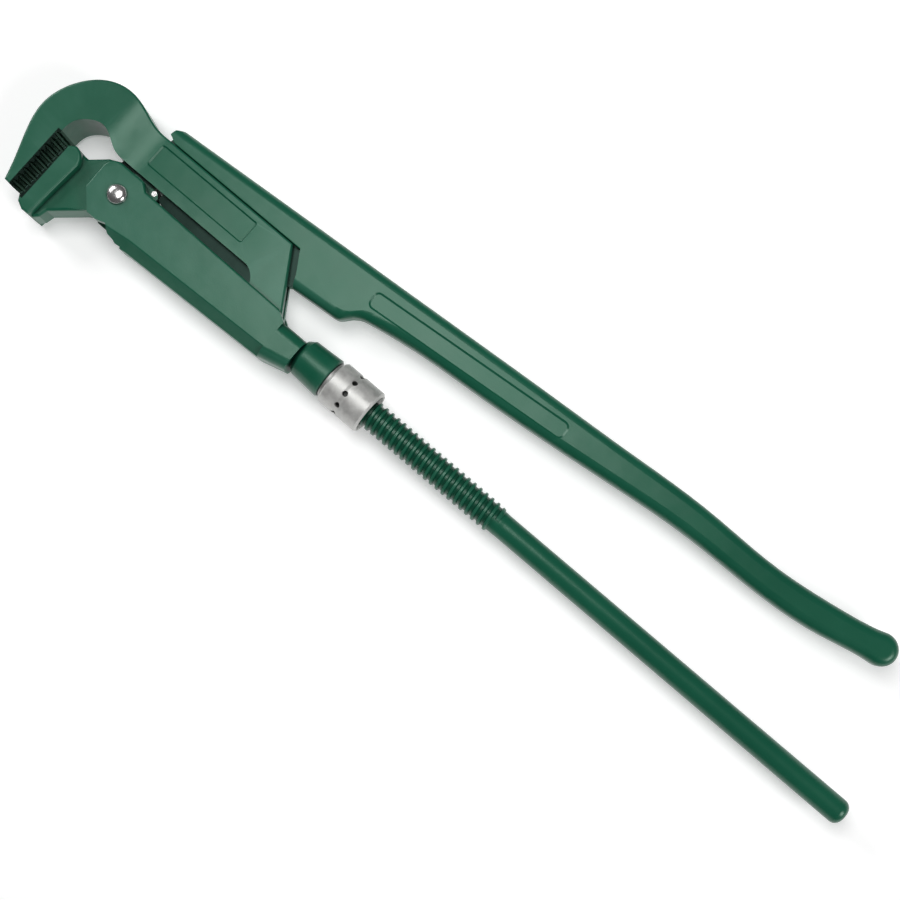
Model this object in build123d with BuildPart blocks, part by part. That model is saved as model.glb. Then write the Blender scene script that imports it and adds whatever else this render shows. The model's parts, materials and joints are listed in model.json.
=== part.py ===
"""Two-handled pipe wrench, 90 degree Swedish pattern, for pipe up to 2 inches.

A forked hook jaw is pinned to a threaded rod, which is also the lower handle. A channel-shaped
sleeve slides along the rod and rests on the adjusting nut. The lever is the upper handle and the
lower jaw in one forging: its tongue passes through the hook's fork, and it turns on a rivet
between the sleeve's ears.

Millimetres. The tool lies on its side: +X runs along the rod from the jaws to the handle ends,
+Y points from the rod to the upper handle, +Z is the pivot's direction. The origin is the centre
of the tool's outline, on the plane it lies on.
"""
from build123d import *
import os
from math import atan2, degrees, hypot

os.makedirs("parts", exist_ok=True)

# Where the pivot stands in the tool's own frame
pivot_x = -212.2
rod_y = -24.1

# Half thicknesses, across the tool's middle plane
jaw_half = 12.5
shank_half = 7.5
shank_top = 41.2
shank_underside = 17.2
taper_front = -28
taper_back = -2
fork_slot_half = 2.6
tongue_half = 2.3
lug_half = 7.5
lug_radius = 15.0
handle_half = 7.0
sleeve_half = 13.0
channel_half = 7.9

# Rod, thread and nut
rod_radius = 6.7
thread_core_radius = 6.8
thread_ridge_height = 1.3
thread_pitch = 4.0
thread_start = 142.0
thread_turns = 30
rod_end = 489.0
thread_play = 0.15
flank_slope = 0.58
nut_front = 147.8
nut_back = 175.5
nut_radius = 12.7
nut_boss_radius = 10.4
nut_hole_phase = 24
nut_middle = 160.8
nut_hole_count = 10
nut_hole_radius = 1.6
nut_hole_depth = 3.4

# Pivot rivet
pivot_rise = 0.8
rivet_radius = 4.5
rivet_head_radius = 5.6
rivet_head_height = 3.0
running_play = 0.05

# Teeth
tooth_pitch = 4.0
tooth_depth = 2.0

# Sleeve
sleeve_back = 147.5
collar_radius = 11.8
socket_bore_radius = 8.4
bore_start = 74.0
channel_back = 124.0
channel_floor = -10.5

# Rounding of the forged and ground edges
forged_edge = 1.2
handle_edge = 5.0
web_edge = 0.6
lug_edge = 1.6
sleeve_bevel = 6.0
bevel_edge = 0.9

# Sunk name panel on the shank and the long recess in the handle, both left blank
panel_depth = 0.8
panel_wall_lean = 45
recess_depth = 0.6
recess_wall_lean = 60
recess_start = (137, 46.2)
recess_end = (260, 57.2)
recess_width = 10.0

# Pin that holds the rod's tang in the fork
tang_pin_at = (96.0, 0.0)
tang_pin_radius = 3.0

# Lever: the edge that rests on the shank, and the tongue's edge above the leaf spring
seam = shank_top + 0.3
tongue_underside = 10.1

# Leaf spring and its pin
spring_pin_at = (11.4, 14.3)
spring_lug_half = 4.0
spring_pin_radius = 1.5
spring_half_width = 2.1
spring_thickness = 1.1
leaf_level = 9.7

head_level = sleeve_half + running_play
mid_z = head_level + rivet_head_height
tool = Plane(origin=(pivot_x, rod_y, mid_z))
plan = Plane(origin=(pivot_x, rod_y, mid_z), x_dir=(1, 0, 0), z_dir=(0, -1, 0))
rod_axis = Axis((pivot_x, rod_y, mid_z), (1, 0, 0))


def across(point, height):
    """Plane square to the pivot through a point of the side view, at this height."""
    return Plane(origin=(pivot_x + point[0], rod_y + point[1], mid_z + height))


tang_pin_plane = across(tang_pin_at, shank_half)


def side_plane(height):
    """Working plane parallel to the tool's middle plane, at this height above it."""
    return tool.offset(height)


def cross_plane(x):
    """Plane square to the rod; its own x is the tool's Y, and its own y the tool's Z."""
    return Plane(origin=(pivot_x + x, rod_y, mid_z), x_dir=(0, 1, 0), z_dir=(1, 0, 0))


def spoke_plane(x, turn, distance):
    """Plane facing away from the rod's axis, at this turn about it and this distance from it."""
    out = Vector(0, 1, 0).rotate(Axis.X, turn)
    origin = Vector(pivot_x + x, rod_y, mid_z) + out * distance
    return Plane(origin=origin, x_dir=(1, 0, 0), z_dir=out)


def at_height(edges, height):
    """Edges on the two side faces that stand this far from the tool's middle plane."""
    return edges.filter_by(lambda edge: abs(abs(edge.center().Z - mid_z) - height) < 0.01)


def is_outer_hook_edge(edge):
    """True for the side edges round the hook's back and the shank's top and rear."""
    x, y, z = edge.center() - tool.origin
    across_the_bar = abs(x - taper_front) < 0.1 or abs(x - taper_back) < 0.1
    return abs(z) > shank_half - 0.1 and not across_the_bar and (x < -48 or y > 24 or x > 95)


def is_long_lower_edge(edge):
    """True for the sleeve's long edges on the side away from the upper handle."""
    return edge.length > 80 and edge.center().Y < rod_y


def is_upper_sleeve_edge(edge):
    """True for the sleeve's side edges above the rod, short of the socket."""
    return edge.center().X < pivot_x + 95 and edge.center().Y > rod_y


def is_web_seam_edge(edge):
    """True for the long side edges of the lever's web that lie along the shank."""
    return edge.length > 90 and edge.center().Y < rod_y + 46


def is_lower_jaw_edge(edge):
    """True for the side edges of the arm that carries the lower jaw."""
    return edge.center().X < pivot_x - 15


def tooth_notches(start, end):
    """V-shaped cutters for teeth on the line from start to end, cutting to its left."""
    length = hypot(end[0] - start[0], end[1] - start[1])
    along = ((end[0] - start[0]) / length, (end[1] - start[1]) / length)
    left = (-along[1], along[0])
    count = int(length / tooth_pitch)
    gap = length / count

    def place(distance, depth):
        return (
            start[0] + along[0] * distance + left[0] * depth,
            start[1] + along[1] * distance + left[1] * depth,
        )

    for number in range(count):
        near = number * gap
        Polygon(
            place(near + 0.05 * gap, -0.5),
            place(near + 0.95 * gap, -0.5),
            place(near + 0.85 * gap, 0),
            place(near + 0.62 * gap, tooth_depth),
            place(near + 0.38 * gap, tooth_depth),
            place(near + 0.15 * gap, 0),
            align=None,
        )


def thread_helix(start, turns, core, ridge_height, play):
    """Right-hand helical rib of the thread; play widens it into the cutter for the nut."""
    root = core - 0.4
    crest = core + ridge_height + play
    half_crest = 0.14 * thread_pitch + play
    half_root = half_crest + flank_slope * (crest - root)
    center = (pivot_x + start, rod_y, mid_z)
    with BuildPart(mode=Mode.PRIVATE) as rib:
        with BuildLine() as path:
            Helix(thread_pitch, turns * thread_pitch, core, center=center, direction=(1, 0, 0))
        outward = (path.line @ 0) - Vector(*center)
        section = Plane(origin=center, x_dir=(1, 0, 0), z_dir=outward.cross(Vector(1, 0, 0)))
        turn = 1 if section.y_dir.dot(outward) > 0 else -1
        with BuildSketch(section):
            Polygon(
                (-half_root, turn * root),
                (-half_crest, turn * crest),
                (half_crest, turn * crest),
                (half_root, turn * root),
                align=None,
            )
        sweep(path=path.line, is_frenet=True)
    return rib.part


# ---------------------------------------------------------------- hook jaw with its forked shank
with BuildPart() as hook_jaw:
    with BuildSketch(tool):
        with BuildLine():
            Spline(
                (-52, -31.2),
                (-61, -5),
                (-64.6, 12),
                (-57.5, 33),
                (-45, 44.5),
                (-31, 47.5),
                (-19, 44.7),
                (-4, shank_top),
                tangents=((-0.25, 1), (1, 0)),
            )
            Polyline((-4, shank_top), (86.5, shank_top), (108, 7.5), (108, -8), (85, -8), (84, 5))
            ThreePointArc((84, 5), (81.4, 13.4), (75, shank_underside))
            Line((75, shank_underside), (-14, shank_underside))
            Spline(
                (-14, shank_underside),
                (-22, 20.2),
                (-31, 24.2),
                (-41.5, 19.5),
                (-46, 8),
                tangents=((-1, 0), (0, -1)),
            )
            Polyline((-46, 8), (-46, -31.8), (-52, -31.2))
        make_face()
    extrude(amount=jaw_half, both=True)
    with BuildSketch(plan):
        with BuildLine():
            Line((-75, jaw_half), (taper_front, jaw_half))
            Spline((taper_front, jaw_half), (taper_back, shank_half), tangents=((1, 0), (1, 0)))
            Line((taper_back, shank_half), (125, shank_half))
            Line((125, shank_half), (125, 0))
            Line((125, 0), (-75, 0))
            Line((-75, 0), (-75, jaw_half))
        make_face()
        mirror(about=Plane.XZ)
    extrude(amount=100, both=True, mode=Mode.INTERSECT)
    fillet(hook_jaw.edges().filter_by(is_outer_hook_edge), forged_edge)
    with BuildSketch(tool):
        Polygon((-20.5, 10), (-8, 50), (130, 50), (130, -20), (-20.5, -20), align=None)
    extrude(amount=fork_slot_half, both=True, mode=Mode.SUBTRACT)
    with BuildSketch(tool):
        tooth_notches((-46, -31), (-46, 7))
    extrude(amount=jaw_half + 1, both=True, mode=Mode.SUBTRACT)
    with Locations(tang_pin_plane):
        Hole(tang_pin_radius, depth=2 * shank_half)
    for side in (1, -1):
        with BuildSketch(side_plane(side * shank_half)):
            with Locations((32, 30.5)):
                RectangleRounded(67, 14, 1.6)
        extrude(amount=-side * panel_depth, taper=panel_wall_lean, mode=Mode.SUBTRACT)

hook_jaw.part.label = "hook_jaw"
export_step(hook_jaw.part, "parts/hook_jaw.step")

# ------------------------------------------------- threaded rod, which is the lower handle as well
thread_end = thread_start + thread_turns * thread_pitch
with BuildPart() as threaded_rod:
    with BuildSketch(tool):
        with BuildLine():
            Polyline((111, 0), (111, 6.2), (112, thread_core_radius), (thread_end + 2, thread_core_radius))
            Line((thread_end + 2, thread_core_radius), (thread_end + 4, rod_radius))
            Line((thread_end + 4, rod_radius), (rod_end - 4, rod_radius))
            ThreePointArc((rod_end - 4, rod_radius), (rod_end - 1, 5.2), (rod_end, 2.5))
            Polyline((rod_end, 2.5), (rod_end, 0), (111, 0))
        make_face()
    revolve(axis=rod_axis)
    with BuildSketch(tool):
        with BuildLine():
            Line((113, 6), (90, 6))
            ThreePointArc((90, 6), (86.5, 0), (90, -6))
            Line((90, -6), (113, -6))
            Line((113, -6), (113, 6))
        make_face()
    extrude(amount=tongue_half + 0.2, both=True)
    add(thread_helix(thread_start, thread_turns, thread_core_radius, thread_ridge_height, 0))
    with BuildSketch(tool):
        with BuildLine():
            Polyline(
                (thread_start - 3, thread_core_radius),
                (thread_start + 2, thread_core_radius + 1.6),
                (thread_start - 3, thread_core_radius + 1.6),
                (thread_start - 3, thread_core_radius),
            )
        make_face()
        with BuildLine():
            Polyline(
                (thread_end + 2, thread_core_radius),
                (thread_end - 3, thread_core_radius + 1.6),
                (thread_end + 2, thread_core_radius + 1.6),
                (thread_end + 2, thread_core_radius),
            )
        make_face()
    revolve(axis=rod_axis, mode=Mode.SUBTRACT)
    with Locations(tang_pin_plane):
        Hole(tang_pin_radius, depth=2 * shank_half)

threaded_rod.part.label = "threaded_rod"
export_step(threaded_rod.part, "parts/threaded_rod.step")

# ---------------------------------------------------------------------------------- tang pin
with BuildPart() as tang_pin:
    with BuildSketch(side_plane(-shank_half + 0.1)):
        with Locations(tang_pin_at):
            Circle(tang_pin_radius - 0.02)
    extrude(amount=2 * shank_half - 0.2)
    chamfer(tang_pin.edges().filter_by(GeomType.CIRCLE), 0.4)

tang_pin.part.label = "tang_pin"
export_step(tang_pin.part, "parts/tang_pin.step")

# ------------------------------------------------------------------------------------- sleeve
with BuildPart() as sleeve:
    with BuildSketch(tool):
        with BuildLine():
            Line((-9, 15), (6, 15))
            Line((6, 15), (10.5, 11.5))
            Polyline((10.5, 11.5), (105.5, 9.9), (112, 6.2), (112, -16), (22, -19.4), (16, -20.2))
            Polyline((16, -20.2), (13, -18.6), (9, -18.2), (5.5, -14.6), (0, -16.4), (-6, -16.4))
            Polyline((-6, -16.4), (-16.2, -5.5), (-16.6, 7))
            ThreePointArc((-16.6, 7), (-14.6, 12.6), (-9, 15))
        make_face()
    extrude(amount=sleeve_half, both=True)
    chamfer(at_height(sleeve.edges(), sleeve_half).filter_by(is_long_lower_edge), sleeve_bevel)
    fillet(at_height(sleeve.edges(), sleeve_half).filter_by(is_upper_sleeve_edge), forged_edge)
    fillet(at_height(sleeve.edges(), sleeve_half).filter_by(is_long_lower_edge), bevel_edge)
    with BuildSketch(cross_plane(112)):
        with Locations((-4.9, 0)):
            RectangleRounded(22.2, 2 * sleeve_half, 6.5)
    with BuildSketch(cross_plane(127)):
        with Locations((-3, 0)):
            RectangleRounded(18.4, 22.4, 6)
    loft()
    with BuildSketch(tool):
        with BuildLine():
            Polyline((126, 0), (126, 8), (130, 10.8), (sleeve_back - 0.8, collar_radius))
            Polyline((sleeve_back - 0.8, collar_radius), (sleeve_back, collar_radius - 0.8), (sleeve_back, 0))
            Line((sleeve_back, 0), (126, 0))
        make_face()
    revolve(axis=rod_axis)
    with BuildSketch(tool):
        Polygon((18, 40), (channel_back, 40), (channel_back, channel_floor), (18, channel_floor), align=None)
        Polygon((-30, 40), (18.1, 40), (18.1, -40), (-30, -40), align=None)
    extrude(amount=channel_half, both=True, mode=Mode.SUBTRACT)
    with BuildSketch(cross_plane(bore_start)):
        Circle(socket_bore_radius)
    extrude(amount=sleeve_back, mode=Mode.SUBTRACT)
    with Locations(across((0, pivot_rise), sleeve_half)):
        Hole(rivet_radius + 0.03, depth=2 * sleeve_half)

sleeve.part.label = "sleeve"
export_step(sleeve.part, "parts/sleeve.step")

# -------------------------------------------- lever: the upper handle and the lower jaw in one piece
with BuildPart() as jaw_block:
    with BuildSketch(tool):
        with BuildLine():
            Polyline((-39.3, 3), (-40.6, -31.6), (-38.4, -35.4), (-34, -37.6), (-29.4, -37.4), (-28.6, -30))
            Line((-28.6, -30), (-26.6, -1))
            ThreePointArc((-26.6, -1), (-29.2, 4.2), (-34.6, 6.4))
            Line((-34.6, 6.4), (-39.3, 3))
        make_face()
    extrude(amount=jaw_half, both=True)
    fillet(at_height(jaw_block.edges(), jaw_half), forged_edge)

with BuildPart() as lever:
    with BuildSketch(tool):
        with BuildLine():
            end_cap = ThreePointArc((448, 84.5), (459.4, 79.3), (452, 67.6))
            Spline(
                (-15, 49.5),
                (100, 57.8),
                (155, 61.7),
                (250, 68.5),
                (290, 71.2),
                (340, 74.3),
                (383, 74.2),
                (423, 78.8),
                (448, 84.5),
                tangents=((1, 0.072), end_cap % 0),
            )
            Spline(
                (452, 67.6),
                (423, 61.8),
                (383, 57.7),
                (342, 57),
                (292, 52.1),
                (208, 43.2),
                (145, 35.7),
                tangents=(end_cap % 1, (-1, -0.19)),
            )
            Spline((145, 35.7), (136.5, 32.8), (131, 26.8), (126, 25.7), tangents=((-1, -0.11), (-1, -0.05)))
            Polyline((126, 25.7), (101.2, 23.6), (98.7, 29.9), (91.4, seam), (-15, seam), (-15, 49.5))
        make_face()
    extrude(amount=handle_half, both=True)
    fillet(lever.edges().filter_by(lambda edge: edge.length > 150), handle_edge)
    fillet(at_height(lever.edges(), handle_half).filter_by(is_web_seam_edge), web_edge)
    with BuildSketch(tool):
        Polygon(
            (-20, 38),
            (3, 38),
            (3, seam),
            (-2.6, 44),
            (-2, 47.6),
            (1.6, 50.4),
            (9, 51.4),
            (9, 60),
            (-20, 60),
            align=None,
        )
    extrude(amount=handle_half + 1, both=True, mode=Mode.SUBTRACT)
    with BuildSketch(tool):
        Polygon(
            (-15, 8),
            (-14, 17),
            (-2, 41),
            (-1, 45),
            (90, 47),
            (99, 29),
            (101, 24),
            (88, 17),
            (82, tongue_underside),
            (22, tongue_underside),
            (8, 15),
            (0, 8),
            align=None,
        )
    extrude(amount=tongue_half, both=True)
    with BuildSketch(tool):
        with Locations((0, pivot_rise)):
            Circle(lug_radius)
        Polygon(
            (-35, 5.6),
            (-27, 5.6),
            (-18.5, 13),
            (-12.5, 15.8),
            (0, 10),
            (0, -10),
            (-9, -15.8),
            (-25, -29.6),
            (-26.2, -34.4),
            (-28.6, -37),
            (-37, -37.4),
            align=None,
        )
    extrude(amount=lug_half, both=True)
    fillet(at_height(lever.edges(Select.LAST), lug_half).filter_by(is_lower_jaw_edge), lug_edge)
    with BuildSketch(tool):
        Polygon((0, 15.6), (12.6, 15.8), (14.6, 13.4), (14, 8), (0, 0), align=None)
    extrude(amount=spring_lug_half, both=True)
    add(jaw_block.part)
    with BuildSketch(tool):
        tooth_notches((-39.3, 2), (-40.4, -31))
    extrude(amount=jaw_half + 1, both=True, mode=Mode.SUBTRACT)
    with BuildSketch(tool):
        Polygon(
            (8, 11.6),
            (8, 17.4),
            (14.6, 17.4),
            (14.6, 13.4),
            (23, tongue_underside),
            (23, 8),
            (12.5, 8),
            align=None,
        )
    extrude(amount=tongue_half + 0.1, both=True, mode=Mode.SUBTRACT)
    with Locations(across((0, pivot_rise), lug_half)):
        Hole(rivet_radius + running_play, depth=2 * lug_half)
    with Locations(across(spring_pin_at, spring_lug_half)):
        Hole(spring_pin_radius, depth=2 * spring_lug_half)
    recess_run = (recess_end[0] - recess_start[0], recess_end[1] - recess_start[1])
    recess_middle = (recess_start[0] + recess_run[0] / 2, recess_start[1] + recess_run[1] / 2)
    for side in (1, -1):
        with BuildSketch(side_plane(side * handle_half)):
            with Locations(Location(recess_middle, degrees(atan2(recess_run[1], recess_run[0])))):
                RectangleRounded(hypot(*recess_run), recess_width, recess_width / 2 - 1.5)
        extrude(amount=-side * recess_depth, taper=recess_wall_lean, mode=Mode.SUBTRACT)

lever.part.label = "lever"
export_step(lever.part, "parts/lever.step")

# -------------------------------------------------------------------------------- pivot rivet
with BuildPart() as pivot_rivet:
    with BuildSketch(plan.offset(-pivot_rise)):
        with BuildLine():
            Polyline((0, 0), (rivet_radius, 0), (rivet_radius, head_level), (rivet_head_radius, head_level))
            Line((rivet_head_radius, head_level), (rivet_head_radius, head_level + 0.5))
            Spline(
                (rivet_head_radius, head_level + 0.5),
                (0, head_level + rivet_head_height),
                tangents=((-0.35, 1), (-1, 0)),
            )
            Line((0, head_level + rivet_head_height), (0, 0))
        make_face()
    revolve(axis=Axis((pivot_x, rod_y + pivot_rise, mid_z), (0, 0, 1)))
    mirror(about=tool)

pivot_rivet.part.label = "pivot_rivet"
export_step(pivot_rivet.part, "parts/pivot_rivet.step")

# ------------------------------------------------------------------------------ adjusting nut
plug_start = thread_start + thread_pitch
plug_turns = 8
with BuildPart() as thread_plug:
    with BuildSketch(cross_plane(plug_start - thread_pitch)):
        Circle(thread_core_radius + thread_play)
    extrude(amount=(plug_turns + 2) * thread_pitch)
    add(thread_helix(plug_start, plug_turns, thread_core_radius, thread_ridge_height, thread_play))

with BuildPart() as adjusting_nut:
    with BuildSketch(tool):
        with BuildLine():
            Polyline(
                (nut_front, 0),
                (nut_front, nut_boss_radius),
                (nut_front + 1.6, nut_boss_radius),
                (nut_front + 1.8, nut_radius - 0.7),
                (nut_front + 2.6, nut_radius),
                (nut_middle - 1.6, nut_radius),
                (nut_middle, nut_radius - 0.6),
                (nut_middle + 1.6, nut_radius),
                (nut_back - 1.2, nut_radius),
                (nut_back, nut_radius - 1.2),
                (nut_back - 0.4, nut_radius - 2.2),
                (nut_back - 4, thread_core_radius + 1.6),
                (nut_back - 4, 0),
                (nut_front, 0),
            )
        make_face()
    revolve(axis=rod_axis)
    add(thread_plug.part, mode=Mode.SUBTRACT)
    for number in range(nut_hole_count):
        hole_turn = nut_hole_phase + number * 360 / nut_hole_count
        with BuildSketch(spoke_plane(nut_middle, hole_turn, nut_radius - nut_hole_depth)):
            Circle(nut_hole_radius)
        extrude(amount=nut_hole_depth + 0.6, mode=Mode.SUBTRACT)

adjusting_nut.part.label = "adjusting_nut"
export_step(adjusting_nut.part, "parts/adjusting_nut.step")

# -------------------------------------------------------------------------------- leaf spring
eye_radius = spring_pin_radius + running_play
with BuildPart() as leaf_spring:
    with BuildSketch(tool):
        with BuildLine():
            ThreePointArc((12.9, 12.4), (18, 10.4), (26, leaf_level))
            Polyline((26, leaf_level), (78, leaf_level), (78, leaf_level - spring_thickness))
            Line((78, leaf_level - spring_thickness), (26, leaf_level - spring_thickness))
            ThreePointArc((26, leaf_level - spring_thickness), (17.3, 9.4), (11.9, 12))
            Line((11.9, 12), (12.9, 12.4))
        make_face()
        with Locations(spring_pin_at):
            Circle(eye_radius + spring_thickness)
            Circle(eye_radius, mode=Mode.SUBTRACT)
    extrude(amount=spring_half_width, both=True)

leaf_spring.part.label = "leaf_spring"
export_step(leaf_spring.part, "parts/leaf_spring.step")

# --------------------------------------------------------------------------------- spring pin
with BuildPart() as spring_pin:
    with BuildSketch(across(spring_pin_at, -spring_lug_half)):
        Circle(spring_pin_radius - 0.02)
    extrude(amount=2 * spring_lug_half)

spring_pin.part.label = "spring_pin"
export_step(spring_pin.part, "parts/spring_pin.step")
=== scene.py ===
"""Looks of a green enamelled two-handled pipe wrench: materials, floor, light and camera."""
import bpy
import json
import math
from mathutils import Matrix, Vector


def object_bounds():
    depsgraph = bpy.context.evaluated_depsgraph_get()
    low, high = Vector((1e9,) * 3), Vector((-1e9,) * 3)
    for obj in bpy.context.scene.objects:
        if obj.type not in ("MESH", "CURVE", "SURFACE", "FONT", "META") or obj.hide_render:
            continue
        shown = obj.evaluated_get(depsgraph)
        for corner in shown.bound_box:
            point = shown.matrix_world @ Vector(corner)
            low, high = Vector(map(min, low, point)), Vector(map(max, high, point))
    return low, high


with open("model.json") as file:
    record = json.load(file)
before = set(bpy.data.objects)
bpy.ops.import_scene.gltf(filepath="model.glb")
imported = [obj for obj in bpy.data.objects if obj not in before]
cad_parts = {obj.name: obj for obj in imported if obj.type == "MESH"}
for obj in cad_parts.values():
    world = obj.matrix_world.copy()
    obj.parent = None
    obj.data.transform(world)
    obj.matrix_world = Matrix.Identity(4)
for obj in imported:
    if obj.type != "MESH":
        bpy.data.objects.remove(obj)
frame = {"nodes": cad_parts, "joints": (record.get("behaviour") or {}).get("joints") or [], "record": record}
cad_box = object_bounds()

MM = 0.001
joints = {joint["name"]: joint for joint in frame["joints"]}
PIVOT = Vector(joints["handle_swing"]["pos_m"])
ROD = Vector((PIVOT.x, joints["nut_turn"]["pos_m"][1], PIVOT.z))

# Colours, as linear light
GREEN = (0.004, 0.080, 0.043)
# Painted shade: enamel is darkened towards this in crevices, where shade falls
GREEN_PAINTED_SHADE = (0.002, 0.020, 0.013)
# Painted highlight on sharp edges, which also stands for thin rubbed paint
GREEN_EDGE = (0.045, 0.150, 0.105)
GREEN_GLOSS = (0.75, 1.0, 0.86)
# Dark oily steel of the bare teeth, also put in the slot by the tongue as painted shade
DARK_STEEL_AND_SLOT_SHADE = (0.012, 0.022, 0.018)
ZINC = (0.66, 0.66, 0.64)
BARE_STEEL = (0.78, 0.78, 0.77)
BLUED_STEEL = (0.02, 0.021, 0.024)
# Painted shade: bare metal is darkened towards this in crevices
METAL_CREVICE_SHADE = (0.012, 0.014, 0.013)
PAPER = (0.90, 0.90, 0.90)
WHITE = (1.0, 1.0, 1.0)

# In patches the paint is this much lighter and the metal this much darker
PAINT_PATCH = 1.18
METAL_PATCH = 0.72

# Enamel: ranges from nothing to full, of a surface value and of what it causes
SHARP_EDGE = (0.52, 0.60)
# Sharp edges: lightened as a painted highlight that also stands for thin rubbed paint, unevenly in patches
EDGE_SHEEN_AND_WEAR = (0.0, 0.55)
PATCH_RANGE_FOR_EDGES = (0.35, 0.6)
PATCH_EDGE_SHEEN_AND_WEAR = (0.4, 1.0)
# Crevices: darkened as painted shade
SHADED_CREVICE = (0.28, 0.64)
CREVICE_SHADE_COVER = (0.0, 0.95)
ENAMEL_ROUGHNESS = (0.28, 0.36)
# Metal: the same for painted shade in crevices
SHADED_METAL_CREVICE = (0.25, 0.60)
METAL_SHADE_COVER = (0.0, 0.95)
# Depths of crevices that are painted darker as shade, in metres
CREVICE_SHADE_DEPTH = 0.004
METAL_SHADE_DEPTH = 0.003

# Floor and light
FLOOR_REACH = 4.0
FLOOR_GLOW = 0.30
WORLD_STRENGTH = 0.12
# Soft boxes: name, place in the millimetres of at(), side in metres, power in watts
LIGHTS = (
    ("key", (0, 163, 1000), 0.5, 4.3),
    ("right", (1600, 60, 1000), 0.7, 13.0),
    ("left", (-1500, 200, 1000), 0.7, 14.0),
)


def at(x, y, z):
    """Point in the row frame from millimetres along the rod, towards the upper handle and up."""
    return ROD + Vector((x, y, z)) * MM


# Spaces of dark oily steel, as two corners in the same millimetres: the teeth are bare steel, and the slot
# by the tongue is made dark as painted shade
TONGUE_GAP = ((-21, 8, -2.75), (101.5, 41.3, 2.75))
HOOK_TEETH = ((-48.2, -33, -14), (-45.6, 7.6, 14))
LEVER_TEETH = ((-41.5, -33, -14), (-37.6, 3.2, 14))
# Width of the soft border of those spaces, in metres
BORDER = 0.0003

# Camera: places given in the same millimetres, lens and film width in millimetres, nearest in metres
CAMERA_AT = at(290, -40, 720)
CAMERA_AIM = at(219.5, 12.4, 0)
CAMERA_ROLL = math.radians(40.28)
LENS = 55.94
FILM_WIDTH = 36
NEAREST = 0.01


# ------------------------------------------------------------------------------------ materials
class Nodes:
    """Short way to build a node tree."""

    def __init__(self, name):
        self.material = bpy.data.materials.new(name)
        self.material.use_nodes = True
        self.tree = self.material.node_tree
        self.shader = self.tree.nodes["Principled BSDF"]

    def add(self, kind, **values):
        node = self.tree.nodes.new(kind)
        for key, value in values.items():
            setattr(node, key, value)
        return node

    def link(self, source, target):
        self.tree.links.new(source, target)

    def set(self, socket, value):
        """Same value all over the surface."""
        self.shader.inputs[socket].default_value = value

    def drive(self, socket, source):
        """Value that varies over the surface."""
        self.link(source, self.shader.inputs[socket])

    def place(self):
        return self.add("ShaderNodeTexCoord").outputs["Object"]

    def noise(self, place, scale, detail, roughness=0.5):
        node = self.add("ShaderNodeTexNoise")
        node.inputs["Scale"].default_value = scale
        node.inputs["Detail"].default_value = detail
        node.inputs["Roughness"].default_value = roughness
        self.link(place, node.inputs["Vector"])
        return node.outputs["Fac"]

    def span(self, value, source, target):
        """Stretch a value from one range of numbers to another, and keep it inside."""
        node = self.add("ShaderNodeMapRange")
        self.link(value, node.inputs["Value"])
        for key, number in zip(("From Min", "From Max", "To Min", "To Max"), (*source, *target)):
            node.inputs[key].default_value = number
        return node.outputs["Result"]

    def blend(self, factor, first, second):
        node = self.add("ShaderNodeMix", data_type="RGBA")
        self.link(factor, node.inputs["Factor"])
        for index, colour in ((6, first), (7, second)):
            if isinstance(colour, tuple):
                node.inputs[index].default_value = (*colour, 1.0)
            else:
                self.link(colour, node.inputs[index])
        return node.outputs[2]

    def math(self, operation, *values):
        node = self.add("ShaderNodeMath", operation=operation)
        for index, value in enumerate(values):
            if isinstance(value, (int, float)):
                node.inputs[index].default_value = value
            else:
                self.link(value, node.inputs[index])
        return node.outputs[0]

    def crevice(self, reach):
        """1 in a crevice as deep as this, in metres, and 0 on an open face."""
        node = self.add("ShaderNodeAmbientOcclusion", samples=8)
        node.inputs["Distance"].default_value = reach
        return self.math("SUBTRACT", 1.0, node.outputs["AO"])

    def inside(self, place, low, high):
        """1 between these corners, given in millimetres like at(), and 0 outside them."""
        split = self.add("ShaderNodeSeparateXYZ")
        self.link(place, split.inputs[0])
        mask = None
        for axis, (start, end) in enumerate(zip(at(*low), at(*high))):
            value = split.outputs[axis]
            after_start = self.span(value, (start - BORDER, start), (0.0, 1.0))
            before_end = self.span(value, (end, end + BORDER), (1.0, 0.0))
            for side in (after_start, before_end):
                mask = side if mask is None else self.math("MULTIPLY", mask, side)
        return mask

    def bump(self, pattern, depth, strength, under=None):
        """Relief of this depth in metres, on top of another relief if one is given."""
        node = self.add("ShaderNodeBump")
        node.inputs["Distance"].default_value = depth
        node.inputs["Strength"].default_value = strength
        self.link(pattern, node.inputs["Height"])
        if under is not None:
            self.link(under, node.inputs["Normal"])
        return node.outputs["Normal"]


def scaled(colour, factor):
    """Colour with each part times a factor."""
    return tuple(factor * part for part in colour)


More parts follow.
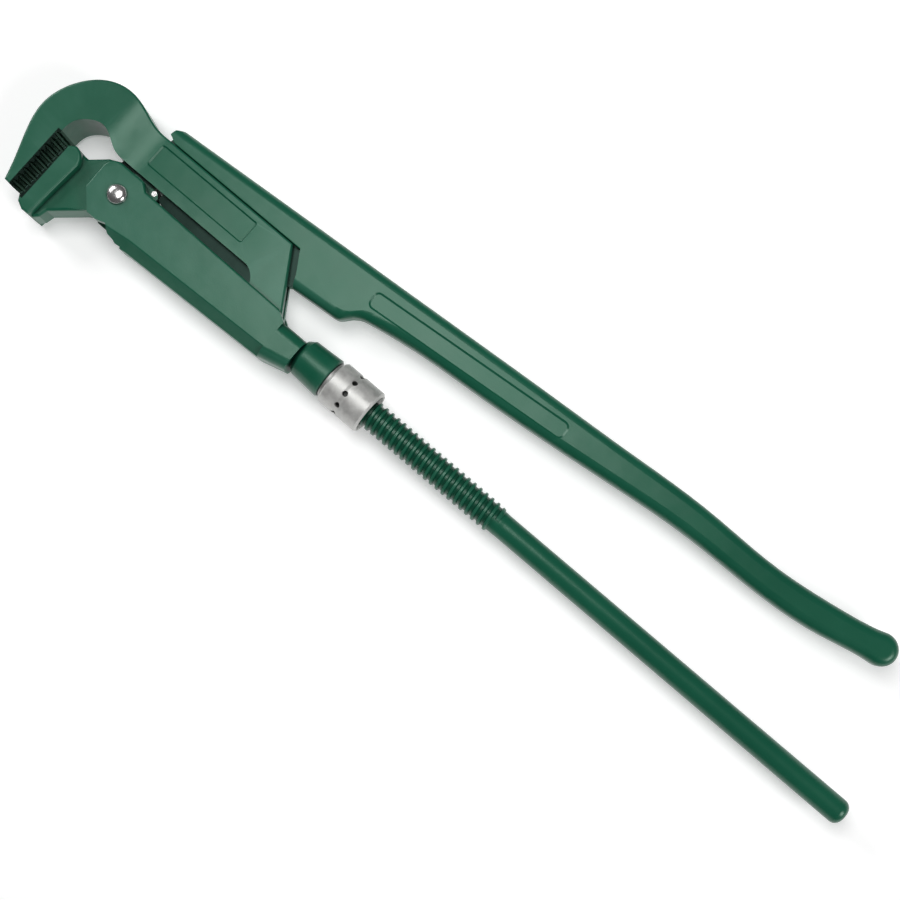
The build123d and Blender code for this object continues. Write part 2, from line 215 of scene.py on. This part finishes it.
def enamel():
    """Sprayed green enamel over a forging, with sharp edges lighter as a painted highlight that also stands
    for thin rubbed paint, painted shade in crevices, bare oily teeth, and a slot by the tongue made dark as
    painted shade.
    """
    m = Nodes("green_enamel")
    place = m.place()
    waves = m.noise(place, scale=60.0, detail=2.0)
    peel = m.noise(place, scale=1100.0, detail=2.0)
    patches = m.noise(place, scale=26.0, detail=4.0, roughness=0.6)
    specks = m.noise(place, scale=420.0, detail=3.0, roughness=0.7)

    edges = m.add("ShaderNodeNewGeometry").outputs["Pointiness"]
    # Sharp edges get lighter: a painted highlight, which also stands for thin rubbed paint
    sharp = m.span(edges, SHARP_EDGE, EDGE_SHEEN_AND_WEAR)
    uneven = m.span(patches, PATCH_RANGE_FOR_EDGES, PATCH_EDGE_SHEEN_AND_WEAR)
    edge_sheen_and_wear = m.math("MULTIPLY", sharp, uneven)

    # Crevices get darker, broken up in specks: painted shade where shade falls
    speckled = m.math("MULTIPLY", specks, 0.15)
    shaded = m.math("ADD", m.crevice(CREVICE_SHADE_DEPTH), speckled)
    painted_crevice_shade = m.span(shaded, SHADED_CREVICE, CREVICE_SHADE_COVER)

    # Teeth are bare oily steel; the slot by the tongue is made dark and metallic as painted shade
    bare_teeth_and_slot_shade = m.math("MAXIMUM", m.inside(place, *TONGUE_GAP), m.inside(place, *HOOK_TEETH))
    bare_teeth_and_slot_shade = m.math("MAXIMUM", bare_teeth_and_slot_shade, m.inside(place, *LEVER_TEETH))

    colour = m.blend(m.span(patches, (0.3, 0.7), (0.0, 1.0)), GREEN, scaled(GREEN, PAINT_PATCH))
    # Painted highlight, with thin rubbed paint, on sharp edges
    colour = m.blend(edge_sheen_and_wear, colour, GREEN_EDGE)
    # Painted shade in crevices
    colour = m.blend(painted_crevice_shade, colour, GREEN_PAINTED_SHADE)
    m.drive("Base Color", m.blend(bare_teeth_and_slot_shade, colour, DARK_STEEL_AND_SLOT_SHADE))
    m.drive("Metallic", bare_teeth_and_slot_shade)
    m.drive("Roughness", m.span(patches, (0.2, 0.8), ENAMEL_ROUGHNESS))
    m.set("Specular IOR Level", 0.5)
    m.set("Specular Tint", (*GREEN_GLOSS, 1.0))
    relief = m.bump(waves, depth=0.0006, strength=0.45)
    m.drive("Normal", m.bump(peel, depth=0.00005, strength=0.5, under=relief))
    return m.material


def metal(name, colour, roughness, metallic=1.0, grain=None):
    """Bare or plated steel; grain is the pitch of the turning marks round the rod's axis, in metres."""
    m = Nodes(name)
    place = m.place()
    smudge = m.noise(place, scale=150.0, detail=4.0, roughness=0.65)
    fine = m.noise(place, scale=2500.0, detail=2.0)

    plated = m.blend(m.span(smudge, (0.35, 0.65), (0.0, 1.0)), scaled(colour, METAL_PATCH), colour)
    # Crevices get darker: painted shade where shade falls
    painted_metal_shade = m.span(m.crevice(METAL_SHADE_DEPTH), SHADED_METAL_CREVICE, METAL_SHADE_COVER)
    m.drive("Base Color", m.blend(painted_metal_shade, plated, METAL_CREVICE_SHADE))
    m.set("Metallic", metallic)
    m.drive("Roughness", m.span(smudge, (0.25, 0.75), (0.8 * roughness, 1.25 * roughness)))
    relief = m.bump(fine, depth=0.00002, strength=0.5)
    if grain:
        rings = m.add("ShaderNodeTexWave", wave_type="BANDS", bands_direction="X")
        # At a scale of 1 the wave repeats every tenth of pi
        rings.inputs["Scale"].default_value = math.pi / 10 / grain
        rings.inputs["Distortion"].default_value = 1.5
        m.link(place, rings.inputs["Vector"])
        relief = m.bump(rings.outputs["Fac"], depth=0.00003, strength=0.5, under=relief)
    m.drive("Normal", relief)
    return m.material


def paper():
    """Matt backing paper, glowing a little so that its shadows stay pale."""
    m = Nodes("floor")
    m.set("Base Color", (*PAPER, 1.0))
    m.set("Roughness", 1.0)
    m.set("Emission Color", (*WHITE, 1.0))
    m.set("Emission Strength", FLOOR_GLOW)
    return m.material


paint = {
    "green_enamel": enamel(),
    "bright_zinc": metal("bright_zinc", ZINC, roughness=0.45, metallic=0.55, grain=0.0022),
    "bare_rivet": metal("bare_rivet", BARE_STEEL, roughness=0.20),
    "spring_steel": metal("spring_steel", BLUED_STEEL, roughness=0.35),
}
slots = {row["node"]: row["material_slot"] for row in frame["record"]["subparts"]}
for name, node in frame["nodes"].items():
    node.data.materials.clear()
    node.data.materials.append(paint[slots[name]])

# --------------------------------------------------------------------------------- floor and light
low, high = cad_box
middle = (Vector(low) + Vector(high)) / 2
floor_mesh = bpy.data.meshes.new("floor")
corners = [
    (-FLOOR_REACH, -FLOOR_REACH, low[2]),
    (FLOOR_REACH, -FLOOR_REACH, low[2]),
    (FLOOR_REACH, FLOOR_REACH, low[2]),
    (-FLOOR_REACH, FLOOR_REACH, low[2]),
]
floor_mesh.from_pydata(corners, [], [(0, 1, 2, 3)])
floor_mesh.materials.append(paper())
floor = bpy.data.objects.new("floor", floor_mesh)
bpy.context.scene.collection.objects.link(floor)

world = bpy.data.worlds.new("studio")
world.use_nodes = True
background = world.node_tree.nodes["Background"]
background.inputs["Color"].default_value = (*WHITE, 1.0)
background.inputs["Strength"].default_value = WORLD_STRENGTH
bpy.context.scene.world = world

# Each soft box is square and faces the tool's middle
for name, place, side, power in LIGHTS:
    lamp = bpy.data.objects.new(name, bpy.data.lights.new(name, "AREA"))
    lamp.data.shape = "SQUARE"
    lamp.data.size = side
    lamp.data.energy = power
    lamp.location = at(*place)
    lamp.rotation_euler = (middle - at(*place)).to_track_quat("-Z", "Y").to_euler()
    bpy.context.scene.collection.objects.link(lamp)

# ----------------------------------------------------------------------------------------- camera
forward = (CAMERA_AIM - CAMERA_AT).normalized()
along = (Vector((1, 0, 0)) - forward * forward.x).normalized()
above = along.cross(forward)
right = along * math.cos(CAMERA_ROLL) + above * math.sin(CAMERA_ROLL)
up = above * math.cos(CAMERA_ROLL) - along * math.sin(CAMERA_ROLL)
turn = Matrix((right, up, -forward)).transposed().to_4x4()
camera = bpy.data.objects.new("camera", bpy.data.cameras.new("camera"))
camera.data.lens = LENS
camera.data.sensor_width = FILM_WIDTH
camera.data.clip_start = NEAREST
camera.matrix_world = Matrix.Translation(CAMERA_AT) @ turn
bpy.context.scene.collection.objects.link(camera)
bpy.context.scene.camera = camera
bpy.context.scene.view_settings.view_transform = "Standard"
